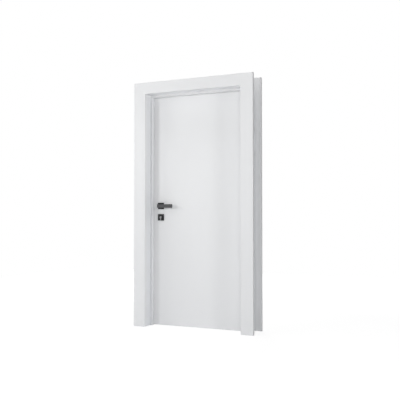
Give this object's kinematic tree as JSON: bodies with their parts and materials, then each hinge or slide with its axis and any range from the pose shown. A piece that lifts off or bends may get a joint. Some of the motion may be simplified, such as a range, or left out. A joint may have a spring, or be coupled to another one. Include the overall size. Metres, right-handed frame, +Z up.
{
  "type": "interior doorset",
  "caption": "White flush interior door hung in a deep lining with flat casings on both wall faces, square dark plates and a straight lever handle.",
  "frame": {"origin": "on the wall side face of the hinge side lining, half way through the wall, at floor level", "axes": "+X across the doorway from the lock side to the hinge side, +Y through the wall from the front casings to the rear ones, +Z up"},
  "size_m": [1.092, 0.24, 2.11],
  "materials": {
    "casing_white": "white satin lacquer on board",
    "lining_white": "white satin lacquer on board",
    "stop_white": "white satin lacquer on board",
    "seal_rubber": "light grey matt",
    "hinge_steel": "satin",
    "pin_steel": "satin",
    "leaf_white": "white satin lacquer on thin board",
    "edge_white": "white satin lacquer on timber",
    "core_board": "raw particle board",
    "lock_steel": "satin",
    "plate_black": "satin black",
    "lever_graphite": "satin graphite",
    "spindle_steel": "plain",
    "cylinder_nickel": "satin dark nickel"
  },
  "bodies": {
    "frame": {"front_casing_hinge": "casing_white", "front_casing_lock": "casing_white", "front_casing_head": "casing_white", "rear_casing_hinge": "casing_white", "rear_casing_lock": "casing_white", "rear_casing_head": "casing_white", "lining_hinge": "lining_white", "lining_lock": "lining_white", "lining_head": "lining_white", "stop_hinge": "stop_white", "stop_lock": "stop_white", "stop_head": "stop_white", "seal_hinge": "seal_rubber", "seal_lock": "seal_rubber", "seal_head": "seal_rubber", "lower_hinge_lining_plate": "hinge_steel", "middle_hinge_lining_plate": "hinge_steel", "upper_hinge_lining_plate": "hinge_steel", "lower_hinge_pin": "pin_steel", "middle_hinge_pin": "pin_steel", "upper_hinge_pin": "pin_steel", "strike_plate": "lock_steel"},
    "leaf": {"leaf_front_skin": "leaf_white", "leaf_rear_skin": "leaf_white", "leaf_lock_stile": "edge_white", "leaf_hinge_stile": "edge_white", "leaf_bottom_rail": "edge_white", "leaf_top_rail": "edge_white", "leaf_core": "core_board", "lower_hinge_leaf_plate": "hinge_steel", "middle_hinge_leaf_plate": "hinge_steel", "upper_hinge_leaf_plate": "hinge_steel", "lock_case": "lock_steel", "lock_forend": "lock_steel", "latch_bolt": "lock_steel", "dead_bolt": "lock_steel", "key_cylinder": "cylinder_nickel", "front_rose": "plate_black", "rear_rose": "plate_black", "front_escutcheon": "plate_black", "rear_escutcheon": "plate_black"},
    "handle": {"front_lever": "lever_graphite", "rear_lever": "lever_graphite", "spindle": "spindle_steel"}
  },
  "joints": [
    {"name": "door_swing", "type": "hinge", "parent": "frame", "child": "leaf", "pos_m": [-0.0375, 0.071, 1], "axis": [0, 0, -1], "range_deg": [0, 95]},
    {"name": "lever_turn", "type": "hinge", "parent": "leaf", "child": "handle", "pos_m": [-0.819, 0.0415, 1.041], "axis": [0, 1, 0], "range_deg": [0, 40], "stiffness_Nm_per_rad": 1.5, "springref_deg": -40.11}
  ]
}
